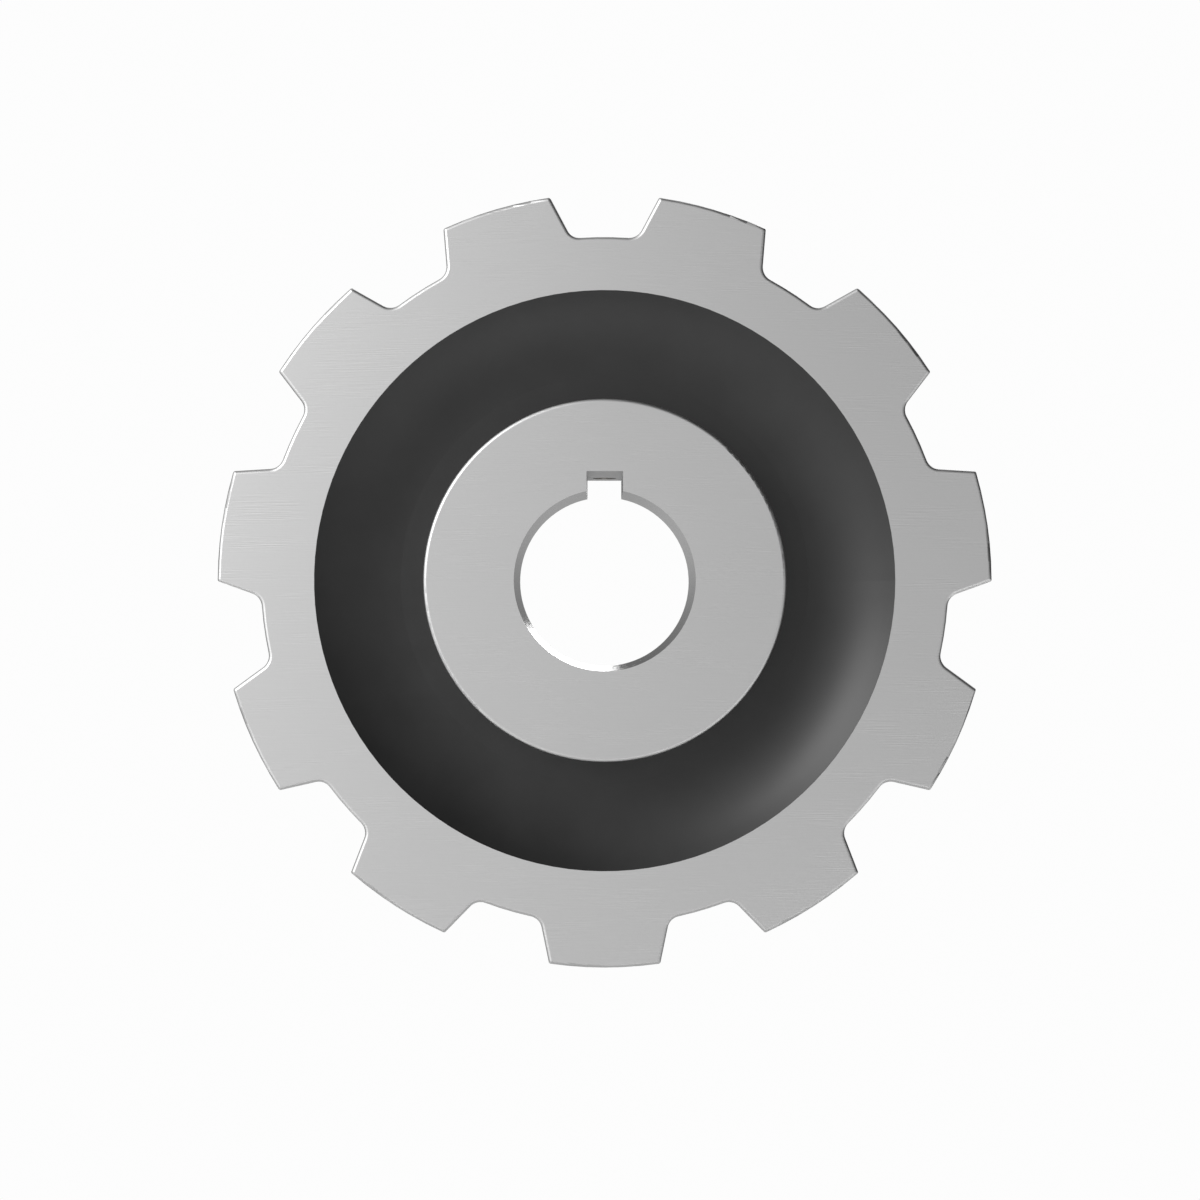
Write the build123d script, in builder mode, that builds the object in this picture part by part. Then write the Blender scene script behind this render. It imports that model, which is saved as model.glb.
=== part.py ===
from build123d import *

import math
import os

# Resilient timing belt pulley: a toothed metal rim, bonded by a ring of hard elastomer to a
# keyed metal hub, and a socket set screw with a soft pad that locks the hub over its key.
#
# Millimetres. The bore's axis is Y and the front face looks along -Y. +Z points up through
# the keyway. The origin is on the bore's axis, halfway through the width of the toothed rim.

# Belt profile
TEETH = 11
BELT_PITCH = 40.0
PITCH_LINE_OFFSET = 1.37
GROOVE_MOUTH_WIDTH = 19.35
GROOVE_HALF_ANGLE = 28.0
GROOVE_DEPTH = 7.67
GROOVE_FLOOR_FILLET = 2.5

# Rim
RIM_WIDTH = 12.7
RIM_BORE_RADIUS = 51.5
TOOTH_CORNER_RADIUS = 0.4
EDGE_ROUND = 0.65

# Hub, a 1-1/4 inch bore with the 1/4 inch keyway that goes with it
BORE_RADIUS = 31.75 / 2
KEYWAY_WIDTH = 6.35
KEYWAY_DEPTH = 3.175
HUB_RADIUS = 31.75
HUB_FRONT_LENGTH = 6.35
HUB_REAR_LENGTH = 12.7

# Elastomer ring, dished on both faces
DISH_DEPTH = 4.4
DISH_FLOOR_RADIUS = 36.5

# Set screw, 1/4-20, its pad and its hole in the rear boss
SCREW_RADIUS = 3.15
SCREW_LENGTH = 9.525
SCREW_SOCKET_FLATS = 3.175
SCREW_SOCKET_DEPTH = 4.0
SCREW_END_CHAMFER = 0.6
PAD_RADIUS = 2.15
PAD_THICKNESS = 2.0
PAD_CHAMFER = 0.25
PAD_GAP = 0.55
RUNNING_CLEARANCE = 0.05
SCREW_FROM_REAR_FACE = 8.0
HOLE_PILOT_LENGTH = 1.6
HOLE_MOUTH_BREAK = 0.6

# Worked out from the driving dimensions
PITCH_RADIUS = TEETH * BELT_PITCH / (2 * math.pi)
TIP_RADIUS = PITCH_RADIUS - PITCH_LINE_OFFSET
ROOT_RADIUS = TIP_RADIUS - GROOVE_DEPTH
FRONT_RIM_FACE = -RIM_WIDTH / 2
FRONT_HUB_FACE = FRONT_RIM_FACE - HUB_FRONT_LENGTH
REAR_HUB_FACE = RIM_WIDTH / 2 + HUB_REAR_LENGTH
HUB_LENGTH = REAR_HUB_FACE - FRONT_HUB_FACE
KEYWAY_ROOF = BORE_RADIUS + KEYWAY_DEPTH
SCREW_Y = REAR_HUB_FACE - SCREW_FROM_REAR_FACE
PAD_TIP = KEYWAY_ROOF + PAD_GAP
SCREW_TIP = PAD_TIP + PAD_THICKNESS
SCREW_TOP = SCREW_TIP + SCREW_LENGTH

os.makedirs("parts", exist_ok=True)


# Belt groove: straight flanks that open outwards, a floor concentric with the rim and
# rounded floor corners. It is drawn for the groove at the top, in line with the keyway.
mouth_x = GROOVE_MOUTH_WIDTH / 2
mouth_z = math.sqrt(TIP_RADIUS**2 - mouth_x**2)
flank_slope = math.tan(math.radians(GROOVE_HALF_ANGLE))
below_floor = ROOT_RADIUS - GROOVE_DEPTH
above_mouth = TIP_RADIUS + GROOVE_DEPTH
narrow_x = mouth_x - (mouth_z - below_floor) * flank_slope
wide_x = mouth_x + (above_mouth - mouth_z) * flank_slope

with BuildSketch() as belt_groove:
    with BuildLine():
        Polyline(
            (-wide_x, above_mouth),
            (-narrow_x, below_floor),
            (narrow_x, below_floor),
            (wide_x, above_mouth),
            close=True,
        )
    make_face()
    Circle(ROOT_RADIUS, mode=Mode.SUBTRACT)
    fillet(belt_groove.vertices().group_by(Axis.Y)[0], GROOVE_FLOOR_FILLET)


# Toothed rim: a flat ring with the grooves cut through its full width. Its outline is
# lightly rounded on both faces, and the edge of its bore is left sharp.
with BuildPart() as toothed_rim:
    with BuildSketch(Plane.XZ.offset(-RIM_WIDTH / 2)) as rim_profile:
        Circle(TIP_RADIUS)
        with PolarLocations(0, TEETH):
            add(belt_groove.sketch, mode=Mode.SUBTRACT)
        fillet(rim_profile.vertices().group_by(SortBy.DISTANCE)[-1], TOOTH_CORNER_RADIUS)
        Circle(RIM_BORE_RADIUS, mode=Mode.SUBTRACT)
    extrude(amount=RIM_WIDTH)
    rim_faces = toothed_rim.faces().filter_by(Axis.Y).sort_by(Axis.Y)
    rim_outline = rim_faces[0].outer_wire().edges() + rim_faces[-1].outer_wire().edges()
    fillet(rim_outline, EDGE_ROUND)

toothed_rim.part.label = "toothed_rim"
export_step(toothed_rim.part, "parts/toothed_rim.step")


# Elastomer ring: bonded to the rim's bore and to the hub, with a smooth dish in each face.
# The dish is flat beside the hub and curves up until it is flush with the rim.
floor_y = FRONT_RIM_FACE + DISH_DEPTH

with BuildPart() as elastomer_ring:
    with BuildSketch(Plane.XY):
        with BuildLine():
            Line((HUB_RADIUS, 0), (HUB_RADIUS, floor_y))
            Line((HUB_RADIUS, floor_y), (DISH_FLOOR_RADIUS, floor_y))
            TangentArc((DISH_FLOOR_RADIUS, floor_y), (RIM_BORE_RADIUS, FRONT_RIM_FACE), tangent=(1, 0))
            Line((RIM_BORE_RADIUS, FRONT_RIM_FACE), (RIM_BORE_RADIUS, 0))
            mirror(about=Plane.XZ)
        make_face()
    revolve(axis=Axis.Y)

elastomer_ring.part.label = "elastomer_ring"
export_step(elastomer_ring.part, "parts/elastomer_ring.step")


# Hub: a plain bored cylinder that stands out in front of the rim and further out behind it.
# The stepped hole over the keyway is tapped for the set screw down to a plain pilot.
with BuildPart() as hub:
    with BuildSketch(Plane.XZ.offset(-REAR_HUB_FACE)):
        Circle(HUB_RADIUS)
        Circle(BORE_RADIUS, mode=Mode.SUBTRACT)
        with Locations((0, KEYWAY_ROOF / 2)):
            Rectangle(KEYWAY_WIDTH, KEYWAY_ROOF, mode=Mode.SUBTRACT)
    extrude(amount=HUB_LENGTH)
    hub_faces = hub.faces().filter_by(Axis.Y).sort_by(Axis.Y)
    hub_rims = hub_faces[0].outer_wire().edges() + hub_faces[-1].outer_wire().edges()
    fillet(hub_rims, EDGE_ROUND)
    with Locations((0, SCREW_Y, HUB_RADIUS)):
        CounterSinkHole(
            radius=SCREW_RADIUS + RUNNING_CLEARANCE,
            counter_sink_radius=SCREW_RADIUS + RUNNING_CLEARANCE + HOLE_MOUTH_BREAK,
            depth=HUB_RADIUS - KEYWAY_ROOF - HOLE_PILOT_LENGTH,
            counter_sink_angle=90,
        )
        Hole(radius=PAD_RADIUS + RUNNING_CLEARANCE, depth=HUB_RADIUS - BORE_RADIUS)

hub.part.label = "hub"
export_step(hub.part, "parts/hub.step")


# Set screw: headless, flat point down, hexagon socket in its outer end.
with BuildPart() as set_screw:
    with BuildSketch(Plane.XY.offset(SCREW_TIP)):
        with Locations((0, SCREW_Y)):
            Circle(SCREW_RADIUS)
    extrude(amount=SCREW_LENGTH)
    chamfer(set_screw.edges().filter_by(GeomType.CIRCLE), SCREW_END_CHAMFER)
    with BuildSketch(Plane.XY.offset(SCREW_TOP)):
        with Locations((0, SCREW_Y)):
            RegularPolygon(SCREW_SOCKET_FLATS / 2, 6, major_radius=False)
    extrude(amount=-SCREW_SOCKET_DEPTH, mode=Mode.SUBTRACT)

set_screw.part.label = "set_screw"
export_step(set_screw.part, "parts/set_screw.step")


# Screw pad: a soft disc between the screw and the key. The screw turns on it, and it slides.
with BuildPart() as screw_pad:
    with BuildSketch(Plane.XY.offset(PAD_TIP)):
        with Locations((0, SCREW_Y)):
            Circle(PAD_RADIUS)
    extrude(amount=PAD_THICKNESS)
    chamfer(screw_pad.edges().filter_by(GeomType.CIRCLE), PAD_CHAMFER)

screw_pad.part.label = "screw_pad"
export_step(screw_pad.part, "parts/screw_pad.step")
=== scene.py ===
import math

import bmesh
import bpy
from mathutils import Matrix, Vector


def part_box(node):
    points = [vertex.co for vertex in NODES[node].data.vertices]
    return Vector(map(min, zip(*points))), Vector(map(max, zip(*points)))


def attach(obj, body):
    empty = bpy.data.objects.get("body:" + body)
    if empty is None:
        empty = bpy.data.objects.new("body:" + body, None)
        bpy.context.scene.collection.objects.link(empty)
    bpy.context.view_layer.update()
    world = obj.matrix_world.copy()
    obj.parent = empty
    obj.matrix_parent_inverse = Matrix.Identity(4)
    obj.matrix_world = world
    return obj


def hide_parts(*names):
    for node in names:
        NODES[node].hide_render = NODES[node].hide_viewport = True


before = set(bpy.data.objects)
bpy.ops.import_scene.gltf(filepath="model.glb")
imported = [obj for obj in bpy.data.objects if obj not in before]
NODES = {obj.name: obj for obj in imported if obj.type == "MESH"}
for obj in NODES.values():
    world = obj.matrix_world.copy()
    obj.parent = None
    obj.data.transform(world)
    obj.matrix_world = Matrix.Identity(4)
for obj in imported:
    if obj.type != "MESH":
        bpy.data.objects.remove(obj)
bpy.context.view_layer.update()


# ---------------------------------------------------------------- camera
# The view is straight along the bore. The camera stands a little beside and below the axis.
HUB_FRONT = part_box("hub")[0].y
VIEW_DISTANCE = 0.3904
FIELD_OF_VIEW = math.radians(30.0)
CAMERA_SIDE = -0.00083
CAMERA_HEIGHT = -0.00343


def make_camera():
    data = bpy.data.cameras.new("camera")
    data.sensor_width = 36.0
    data.angle = FIELD_OF_VIEW
    data.clip_start = 0.01
    data.clip_end = 20.0
    camera = bpy.data.objects.new("camera", data)
    camera.location = (CAMERA_SIDE, HUB_FRONT - VIEW_DISTANCE, CAMERA_HEIGHT)
    camera.rotation_euler = (math.radians(90.0), 0.0, 0.0)
    bpy.context.scene.collection.objects.link(camera)
    bpy.context.scene.camera = camera


# ---------------------------------------------------------------- node helpers
def new_material(name):
    """A material with an empty node tree, its Principled shader and its object coordinates."""
    material = bpy.data.materials.new(name)
    material.use_nodes = True
    tree = material.node_tree
    tree.nodes.clear()
    output = tree.nodes.new("ShaderNodeOutputMaterial")
    shader = tree.nodes.new("ShaderNodeBsdfPrincipled")
    tree.links.new(shader.outputs["BSDF"], output.inputs["Surface"])
    place = tree.nodes.new("ShaderNodeTexCoord")
    return material, tree, shader, place.outputs["Object"]


def stretched(tree, place, scale):
    """Object coordinates scaled by a different amount along each axis."""
    mapping = tree.nodes.new("ShaderNodeMapping")
    mapping.inputs["Scale"].default_value = scale
    tree.links.new(place, mapping.inputs["Vector"])
    return mapping.outputs["Vector"]


def noise(tree, vector, scale, detail, roughness):
    node = tree.nodes.new("ShaderNodeTexNoise")
    node.inputs["Scale"].default_value = scale
    node.inputs["Detail"].default_value = detail
    node.inputs["Roughness"].default_value = roughness
    tree.links.new(vector, node.inputs["Vector"])
    return node.outputs["Fac"]


def remap(tree, value, low, high, to_low, to_high):
    """The value with low to high stretched onto to_low to to_high, and held at the ends."""
    node = tree.nodes.new("ShaderNodeMapRange")
    node.inputs["From Min"].default_value = low
    node.inputs["From Max"].default_value = high
    node.inputs["To Min"].default_value = to_low
    node.inputs["To Max"].default_value = to_high
    tree.links.new(value, node.inputs["Value"])
    return node.outputs["Result"]


def math_node(tree, operation, *values):
    """An operation on numbers or on other nodes' outputs."""
    node = tree.nodes.new("ShaderNodeMath")
    node.operation = operation
    for socket, value in zip(node.inputs, values):
        if isinstance(value, (int, float)):
            socket.default_value = value
        else:
            tree.links.new(value, socket)
    return node.outputs["Value"]


def vector_length(tree, vector):
    node = tree.nodes.new("ShaderNodeVectorMath")
    node.operation = "LENGTH"
    tree.links.new(vector, node.inputs[0])
    return node.outputs["Value"]


def blend(tree, share, a, b):
    """a where the share is 0 and b where it is 1."""
    step = math_node(tree, "SUBTRACT", b, a)
    return math_node(tree, "ADD", a, math_node(tree, "MULTIPLY", share, step))


def mix_colour(tree, factor, a, b):
    node = tree.nodes.new("ShaderNodeMix")
    node.data_type = "RGBA"
    tree.links.new(factor, node.inputs["Factor"])
    node.inputs["A"].default_value = (*a, 1.0)
    node.inputs["B"].default_value = (*b, 1.0)
    return node.outputs["Result"]


def bump(tree, shader, height, strength, distance):
    node = tree.nodes.new("ShaderNodeBump")
    node.inputs["Strength"].default_value = strength
    node.inputs["Distance"].default_value = distance
    tree.links.new(height, node.inputs["Height"])
    tree.links.new(node.outputs["Normal"], shader.inputs["Normal"])


# ---------------------------------------------------------------- materials
# How finely each pattern repeats along X, Y and Z, per metre.
BRUSH_SCRATCHES = (170.0, 1400.0, 5000.0)
BRUSH_PATCHES = (70.0, 90.0, 320.0)
SIDE_LINES = (45.0, 3000.0, 45.0)
PAD_LINES = (500.0, 500.0, 6000.0)
METAL_CLOUD = 35.0
ELASTOMER_MOTTLE = 90.0
ELASTOMER_PEEL = 900.0
OXIDE_WEAR = 700.0

FACE_ROUGHNESS = 0.32
RIM_SIDE_ROUGHNESS = 0.26
HUB_SIDE_ROUGHNESS = 0.32
# The bore's finer finish fades out between 0.98 and 1 of this distance from its axis.
BORE_ZONE_RADIUS = 0.0161
BORE_ROUGHNESS = 0.08


def facing_share(tree):
    """1 on surfaces that face along the bore, 0 on those that stand along it, such as tooth flanks."""
    place = tree.nodes.new("ShaderNodeTexCoord")
    split = tree.nodes.new("ShaderNodeSeparateXYZ")
    tree.links.new(place.outputs["Normal"], split.inputs["Vector"])
    return remap(tree, math_node(tree, "ABSOLUTE", split.outputs["Y"]), 0.5, 0.8, 0.0, 1.0)


def bore_share(tree, place):
    """1 close to the bore's axis, 0 outside the bore's zone. The bore's wall has about 0.7."""
    off_axis = vector_length(tree, stretched(tree, place, (1.0, 0.0, 1.0)))
    return remap(tree, off_axis, 0.98 * BORE_ZONE_RADIUS, BORE_ZONE_RADIUS, 1.0, 0.0)


def brushed_metal(name, dark, light, side_roughness, bore_roughness):
    """Steel with faces brushed along X in patches of scratches, and with sides lined round Y."""
    material, tree, shader, place = new_material(name)
    scratches = noise(tree, stretched(tree, place, BRUSH_SCRATCHES), 1.0, 0.0, 0.5)
    scratches = remap(tree, scratches, 0.25, 0.75, 0.0, 1.0)
    patches = noise(tree, stretched(tree, place, BRUSH_PATCHES), 1.0, 1.0, 0.5)
    patches = remap(tree, patches, 0.45, 0.62, 0.15, 1.0)
    brushed = blend(tree, patches, 0.5, scratches)
    lined = noise(tree, stretched(tree, place, SIDE_LINES), 1.0, 3.0, 0.55)
    cloud = noise(tree, place, METAL_CLOUD, 3.0, 0.5)
    facing = facing_share(tree)
    grain = blend(tree, facing, lined, brushed)
    tone = blend(tree, 0.2, grain, cloud)
    factor = remap(tree, tone, 0.3, 0.7, 0.0, 1.0)
    tree.links.new(mix_colour(tree, factor, dark, light), shader.inputs["Base Color"])
    side_level = blend(tree, bore_share(tree, place), side_roughness, bore_roughness)
    level = blend(tree, facing, side_level, FACE_ROUGHNESS)
    ripple = remap(tree, grain, 0.3, 0.7, 0.03, -0.03)
    tree.links.new(math_node(tree, "ADD", level, ripple), shader.inputs["Roughness"])
    shader.inputs["Metallic"].default_value = 1.0
    relief = blend(tree, facing, math_node(tree, "MULTIPLY", lined, 0.15), brushed)
    bump(tree, shader, relief, 0.36, 0.00004)
    return material


def cast_elastomer(name):
    """Smooth black cast elastomer with a faint mottle and very shallow orange peel."""
    material, tree, shader, place = new_material(name)
    mottle = noise(tree, place, ELASTOMER_MOTTLE, 4.0, 0.55)
    peel = noise(tree, place, ELASTOMER_PEEL, 2.0, 0.5)
    factor = remap(tree, mottle, 0.3, 0.7, 0.0, 1.0)
    colour = mix_colour(tree, factor, (0.010, 0.010, 0.010), (0.015, 0.015, 0.015))
    tree.links.new(colour, shader.inputs["Base Color"])
    tree.links.new(remap(tree, mottle, 0.3, 0.7, 0.31, 0.33), shader.inputs["Roughness"])
    shader.inputs["Specular IOR Level"].default_value = 0.5
    bump(tree, shader, peel, 0.03, 0.00003)
    return material


def black_oxide(name):
    """Black-oxided steel of the set screw, worn a little brighter in patches."""
    material, tree, shader, place = new_material(name)
    worn = noise(tree, place, OXIDE_WEAR, 4.0, 0.6)
    factor = remap(tree, worn, 0.45, 0.75, 0.0, 1.0)
    colour = mix_colour(tree, factor, (0.035, 0.035, 0.038), (0.11, 0.11, 0.115))
    tree.links.new(colour, shader.inputs["Base Color"])
    tree.links.new(remap(tree, worn, 0.3, 0.7, 0.42, 0.30), shader.inputs["Roughness"])
    shader.inputs["Metallic"].default_value = 0.85
    bump(tree, shader, worn, 0.1, 0.00002)
    return material


def turned_brass(name):
    """Brass of the pad, with fine turning lines round its axis."""
    material, tree, shader, place = new_material(name)
    lines = noise(tree, stretched(tree, place, PAD_LINES), 1.0, 2.0, 0.5)
    factor = remap(tree, lines, 0.3, 0.7, 0.0, 1.0)
    colour = mix_colour(tree, factor, (0.42, 0.31, 0.15), (0.58, 0.45, 0.25))
    tree.links.new(colour, shader.inputs["Base Color"])
    tree.links.new(remap(tree, lines, 0.3, 0.7, 0.34, 0.26), shader.inputs["Roughness"])
    shader.inputs["Metallic"].default_value = 1.0
    bump(tree, shader, lines, 0.1, 0.00002)
    return material


def paint(node, material):
    NODES[node].material_slots[0].material = material


# ---------------------------------------------------------------- set screw and its tapped hole
# 1/4-20 unified thread, right-handed: 1.27 mm to the turn and 60 degrees between the flanks.
THREAD_PITCH = 0.00127
THREAD_DEPTH = 0.6134 * THREAD_PITCH
CREST_HALF_WIDTH = THREAD_PITCH / 16
FLANK_SLOPE = math.tan(math.radians(30.0))
TURN_STEPS = 96
END_CHAMFER = 0.0006
SOCKET_APOTHEM = 0.0015875
SOCKET_DEPTH = 0.0040
SOCKET_MOUTH_RADIUS = 0.0020
SOCKET_POINT_DEPTH = SOCKET_APOTHEM * math.tan(math.radians(30.0))
CREASE_ANGLE = math.radians(25.0)


def screw_measures():
    """The set screw's middle, the heights of its two ends and its outer radius."""
    low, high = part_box("set_screw")
    return (low + high) / 2, low.z, high.z, (high.x - low.x) / 2


def around(axis, angle, radius, height):
    """A point at a height, turned round the screw's axis from +X towards +Y."""
    return axis.x + radius * math.cos(angle), axis.y + radius * math.sin(angle), height


def thread_radius(major, along):
    """Radius of the thread at a distance along the screw from the middle of a crest."""
    off_crest = abs(along - THREAD_PITCH * round(along / THREAD_PITCH))
    cut = max(0.0, off_crest - CREST_HALF_WIDTH) / FLANK_SLOPE
    return major - min(cut, THREAD_DEPTH)


def thread_marks():
    """Distances along one turn at which the thread's profile has a row of vertices."""
    flank = THREAD_DEPTH * FLANK_SLOPE
    next_crest = THREAD_PITCH - CREST_HALF_WIDTH
    stops = (-CREST_HALF_WIDTH, CREST_HALF_WIDTH, CREST_HALF_WIDTH + flank, next_crest - flank, next_crest)
    rows_each = (2, 4, 2, 4)
    return [a + (b - a) * k / n for a, b, n in zip(stops, stops[1:], rows_each) for k in range(n)]


def mesh_piece(name, mesh, material):
    """An object made from a bmesh: smooth, with its creases kept sharp."""
    bmesh.ops.recalc_face_normals(mesh, faces=mesh.faces)
    data = bpy.data.meshes.new(name)
    mesh.to_mesh(data)
    mesh.free()
    data.shade_smooth()
    data.set_sharp_from_angle(angle=CREASE_ANGLE)
    data.materials.append(material)
    piece = bpy.data.objects.new(name, data)
    bpy.context.scene.collection.objects.link(piece)
    return piece


def add_face(mesh, *corners):
    """A face on the corners that differ, or none if fewer than three do."""
    different = list(dict.fromkeys(corners))
    if len(different) > 2:
        mesh.faces.new(different)


def thread_wall(mesh, place, length, major):
    """The screw's threaded side, on rows that climb with the helix. Gives its columns of vertices."""
    marks = thread_marks()
    turns = range(-2, math.ceil(length / THREAD_PITCH) + 2)
    rows = [turn * THREAD_PITCH + mark for turn in turns for mark in marks]
    columns = []
    for step in range(TURN_STEPS):
        climb = THREAD_PITCH * step / TURN_STEPS
        column = []
        last = None
        for row in rows:
            along = min(max(row + climb, 0.0), length)
            if along == last:
                column.append(column[-1])
                continue
            end_cone = major - END_CHAMFER + min(along, length - along)
            radius = min(thread_radius(major, along - climb), end_cone)
            column.append(mesh.verts.new(place(step, radius, along)))
            last = along
        columns.append(column)
    for step, here in enumerate(columns):
        there = columns[(step + 1) % TURN_STEPS]
        lift = len(marks) if step == TURN_STEPS - 1 else 0
        for k in range(len(rows) - 1 - lift):
            add_face(mesh, here[k], there[k + lift], there[k + 1 + lift], here[k + 1])
    return columns


def socket_radius(step):
    """Distance from the screw's axis to its hexagon socket's wall, which has a corner along X."""
    off_flat = (2 * math.pi * step / TURN_STEPS) % (math.pi / 3) - math.pi / 6
    return SOCKET_APOTHEM / math.cos(off_flat)


def threaded_screw(material):
    """The set screw: its thread, chamfered ends and the countersunk socket in its outer end."""
    axis, bottom, top, major = screw_measures()
    length = top - bottom
    mesh = bmesh.new()

    def place(step, radius, along):
        return around(axis, 2 * math.pi * step / TURN_STEPS, radius, bottom + along)

    columns = thread_wall(mesh, place, length, major)
    point = mesh.verts.new(place(0, 0.0, 0.0))
    socket_end = mesh.verts.new(place(0, 0.0, length - SOCKET_DEPTH - SOCKET_POINT_DEPTH))
    socket = []
    for step in range(TURN_STEPS):
        wall = socket_radius(step)
        mouth = mesh.verts.new(place(step, SOCKET_MOUTH_RADIUS, length))
        edge = mesh.verts.new(place(step, wall, length - (SOCKET_MOUTH_RADIUS - wall)))
        foot = mesh.verts.new(place(step, wall, length - SOCKET_DEPTH))
        socket.append((columns[step][-1], mouth, edge, foot))
    for step, here in enumerate(socket):
        there = socket[(step + 1) % TURN_STEPS]
        for k in range(3):
            mesh.faces.new((here[k], there[k], there[k + 1], here[k + 1]))
        mesh.faces.new((here[3], there[3], socket_end))
        mesh.faces.new((columns[(step + 1) % TURN_STEPS][0], columns[step][0], point))
    return mesh_piece("threaded_set_screw", mesh, material)


# The tapped hole's thread lies between the screw's turns, so a screw that climbs its lead as it
# turns stays clear of it. The thread starts above the pilot and sinks a little into the hub.
HOLE_PILOT_END = 0.02065
HOLE_MOUTH_BREAK = 0.0006
HOLE_CLEARANCE = 0.00004
HOLE_EMBED = 0.00015
TAPER_TURNS = 0.3
TAPER_START = 0.02


def ridge_half_width(major, radius):
    """Half the width of the hole's thread at a radius, clear of the screw's flanks."""
    return THREAD_PITCH / 2 - CREST_HALF_WIDTH - (major - radius) * FLANK_SLOPE - HOLE_CLEARANCE


def ridge_section(major, fullness):
    """Corners of the hole's thread in section, as a radius and a distance from its middle."""
    wall = major + HOLE_EMBED
    crest = wall + (major - THREAD_DEPTH + HOLE_CLEARANCE - wall) * fullness
    foot, top = ridge_half_width(major, wall), ridge_half_width(major, crest)
    return (wall, -foot), (crest, -top), (crest, top), (wall, foot)


def hole_thread(material):
    """The thread in the hub's tapped hole, a helical ridge that runs out at both ends."""
    axis, bottom, _, major = screw_measures()
    start = (HOLE_PILOT_END - bottom) / THREAD_PITCH + 0.5
    stop = (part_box("hub")[1].z - HOLE_MOUTH_BREAK - bottom) / THREAD_PITCH - 0.5
    steps = round((stop - start) * TURN_STEPS)
    mesh = bmesh.new()
    rings = []
    for step in range(steps + 1):
        turn = start + step / TURN_STEPS
        angle = 2 * math.pi * (turn - 0.5)
        middle = bottom + turn * THREAD_PITCH
        fullness = min(1.0, TAPER_START + min(step, steps - step) / (TAPER_TURNS * TURN_STEPS))
        section = ridge_section(major, fullness)
        rings.append([mesh.verts.new(around(axis, angle, r, middle + across)) for r, across in section])
    for here, there in zip(rings, rings[1:]):
        for k in range(4):
            mesh.faces.new((here[k], there[k], there[(k + 1) % 4], here[(k + 1) % 4]))
    mesh.faces.new(rings[0])
    mesh.faces.new(rings[-1])
    return mesh_piece("tapped_hole_thread", mesh, material)


# ---------------------------------------------------------------- floor and light
FLOOR_DROP = 0.30
FLOOR_RADIUS = 0.55
FLOOR_FADE_START = 0.45 * FLOOR_RADIUS
PAGE_WHITE = 0.98
# The room's light is made of soft regions. Each has its angle from the camera's side of the bore's
# axis, how far it is turned round that axis from the right towards the top, how tight it is and
# how bright.
ROOM_LIGHTS = {
    "in front": (0.0, 0.0, 6.0, 0.28),
    "front right": (45.0, 0.0, 8.0, 0.33),
    "front upper left": (45.0, 135.0, 8.0, 1.16),
    "front left": (45.0, 180.0, 8.0, 1.27),
    "front below": (45.0, 270.0, 8.0, 0.40),
    "front lower right": (45.0, 315.0, 8.0, 0.36),
    "upper left": (90.0, 135.0, 6.0, 1.14),
    "left": (90.0, 180.0, 6.0, 0.48),
    "below": (90.0, 270.0, 6.0, 8.40),
    "lower right": (90.0, 315.0, 6.0, 0.35),
    "rear above": (135.0, 66.0, 15.0, 1.20),
    "far rear above": (150.0, 66.0, 60.0, 1.60),
    "far rear lower left": (150.0, 230.0, 60.0, 0.80),
    "behind, to the left": (170.0, 201.0, 120.0, 0.60),
    "behind, below": (170.0, 291.0, 120.0, 0.25),
    "behind, to the right": (170.0, 336.0, 120.0, 0.40),
}


def make_floor():
    """A plain pale disc of floor, clear of the view along the bore. It fades out at its rim."""
    bpy.ops.mesh.primitive_circle_add(
        vertices=96, radius=FLOOR_RADIUS, fill_type="NGON", location=(0, 0, -FLOOR_DROP)
    )
    floor = bpy.context.object
    floor.name = "floor"
    material, tree, shader, place = new_material("pale_floor")
    shader.inputs["Base Color"].default_value = (0.86, 0.86, 0.86, 1.0)
    shader.inputs["Roughness"].default_value = 0.9
    fade = remap(tree, vector_length(tree, place), FLOOR_FADE_START, FLOOR_RADIUS, 1.0, 0.0)
    tree.links.new(fade, shader.inputs["Alpha"])
    floor.data.materials.append(material)


def area_light(name, shape, location, size, power):
    """A flat light, as high as it is wide, aimed at the origin. The camera doesn't see it."""
    data = bpy.data.lights.new(name, "AREA")
    data.shape = shape
    data.size = size
    data.energy = power
    light = bpy.data.objects.new(name, data)
    light.location = location
    light.rotation_euler = (-Vector(location)).to_track_quat("-Z", "Y").to_euler()
    light.visible_camera = False
    bpy.context.scene.collection.objects.link(light)


def room_light(tree, direction, angle, turn, tightness, strength):
    """Light that is strongest from one direction and falls off smoothly around it."""
    angle, turn = math.radians(angle), math.radians(turn)
    sideways = math.sin(angle)
    node = tree.nodes.new("ShaderNodeVectorMath")
    node.operation = "DOT_PRODUCT"
    tree.links.new(direction, node.inputs[0])
    node.inputs[1].default_value = (sideways * math.cos(turn), -math.cos(angle), sideways * math.sin(turn))
    off = math_node(tree, "SUBTRACT", node.outputs["Value"], 1.0)
    fall = math_node(tree, "EXPONENT", math_node(tree, "MULTIPLY", off, tightness))
    return math_node(tree, "MULTIPLY", fall, strength)


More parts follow.
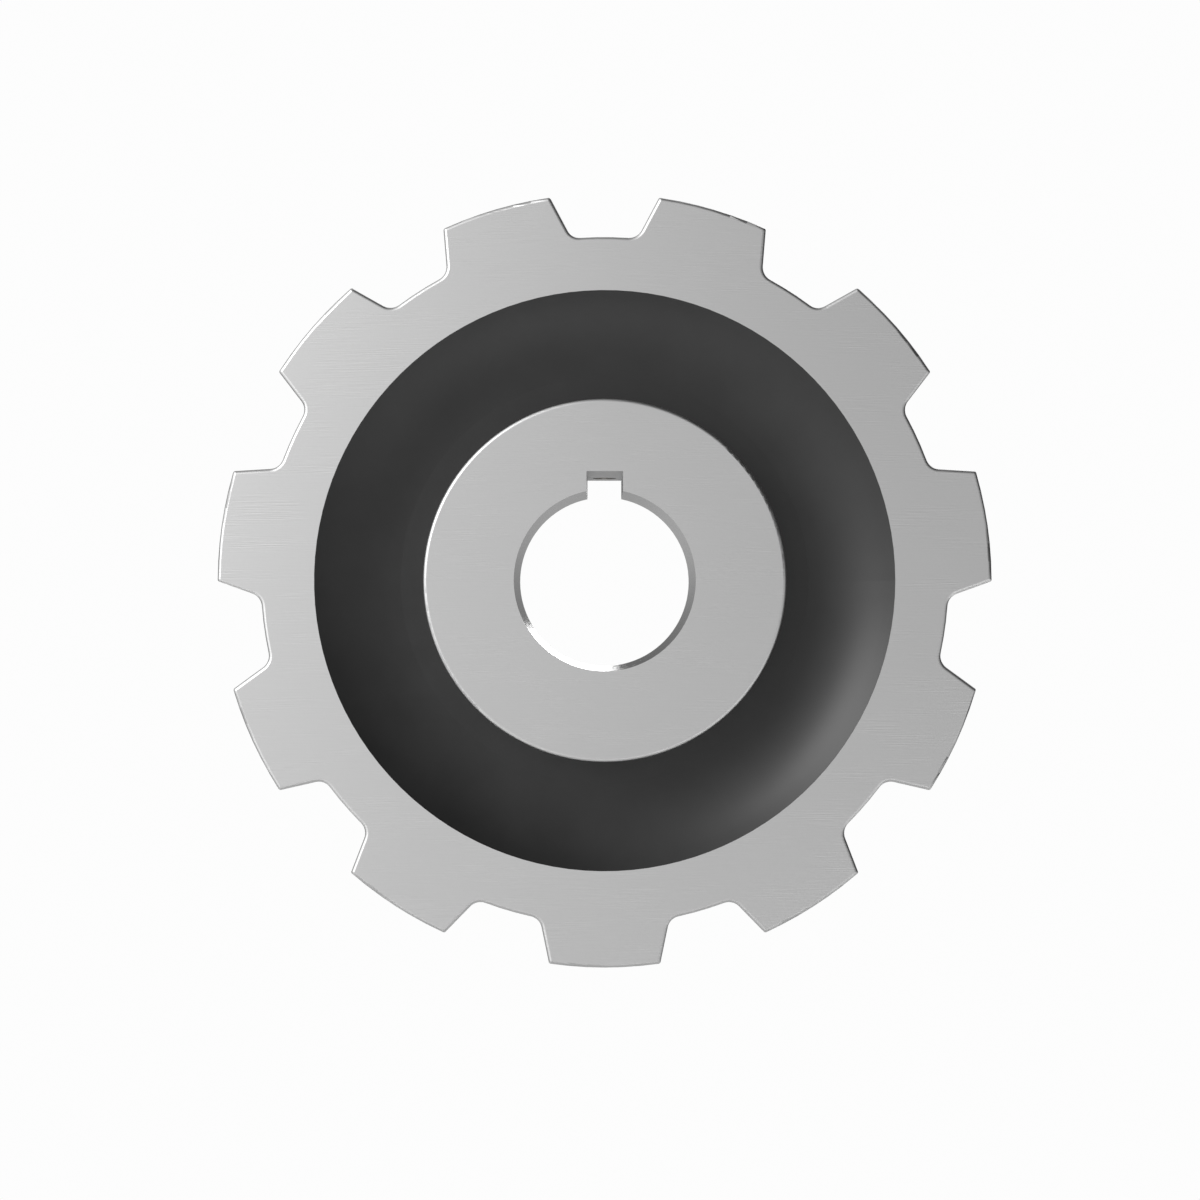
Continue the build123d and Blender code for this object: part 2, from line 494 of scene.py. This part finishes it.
def make_world():
    """The room's light. The camera sees a plain white page in its place."""
    world = bpy.data.worlds.new("studio")
    bpy.context.scene.world = world
    world.use_nodes = True
    tree = world.node_tree
    tree.nodes.clear()
    output = tree.nodes.new("ShaderNodeOutputWorld")
    room = tree.nodes.new("ShaderNodeBackground")
    direction = tree.nodes.new("ShaderNodeTexCoord").outputs["Generated"]
    total = 0.0
    for region in ROOM_LIGHTS.values():
        total = math_node(tree, "ADD", room_light(tree, direction, *region), total)
    tree.links.new(total, room.inputs["Strength"])
    room.inputs["Color"].default_value = (1.0, 1.0, 1.0, 1.0)
    page = tree.nodes.new("ShaderNodeBackground")
    page.inputs["Color"].default_value = (PAGE_WHITE, PAGE_WHITE, PAGE_WHITE, 1.0)
    ray = tree.nodes.new("ShaderNodeLightPath")
    mix = tree.nodes.new("ShaderNodeMixShader")
    tree.links.new(ray.outputs["Is Camera Ray"], mix.inputs["Fac"])
    tree.links.new(room.outputs["Background"], mix.inputs[1])
    tree.links.new(page.outputs["Background"], mix.inputs[2])
    tree.links.new(mix.outputs["Shader"], output.inputs["Surface"])


def make_lights():
    make_world()
    area_light("key_box", "SQUARE", (-0.549, -0.625, 0.343), 0.4, 1.94)
    area_light("bore_spot", "DISK", (0.057, 1.995, 0.127), 0.14, 0.217)
    bpy.context.scene.view_settings.view_transform = "Standard"


make_camera()
RIM_FINISH = brushed_metal(
    "rim_brushed_steel", (0.61, 0.61, 0.61), (0.65, 0.65, 0.65), RIM_SIDE_ROUGHNESS, RIM_SIDE_ROUGHNESS
)
HUB_FINISH = brushed_metal(
    "hub_brushed_steel", (0.60, 0.60, 0.60), (0.64, 0.64, 0.64), HUB_SIDE_ROUGHNESS, BORE_ROUGHNESS
)
SCREW_FINISH = black_oxide("black_oxide_steel")
paint("toothed_rim", RIM_FINISH)
paint("hub", HUB_FINISH)
paint("elastomer_ring", cast_elastomer("black_elastomer"))
paint("set_screw", SCREW_FINISH)
paint("screw_pad", turned_brass("pad_brass"))

screw = threaded_screw(SCREW_FINISH)
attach(screw, "screw_body")
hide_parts("set_screw")
thread = hole_thread(HUB_FINISH)
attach(thread, "hub_body")

make_floor()
make_lights()
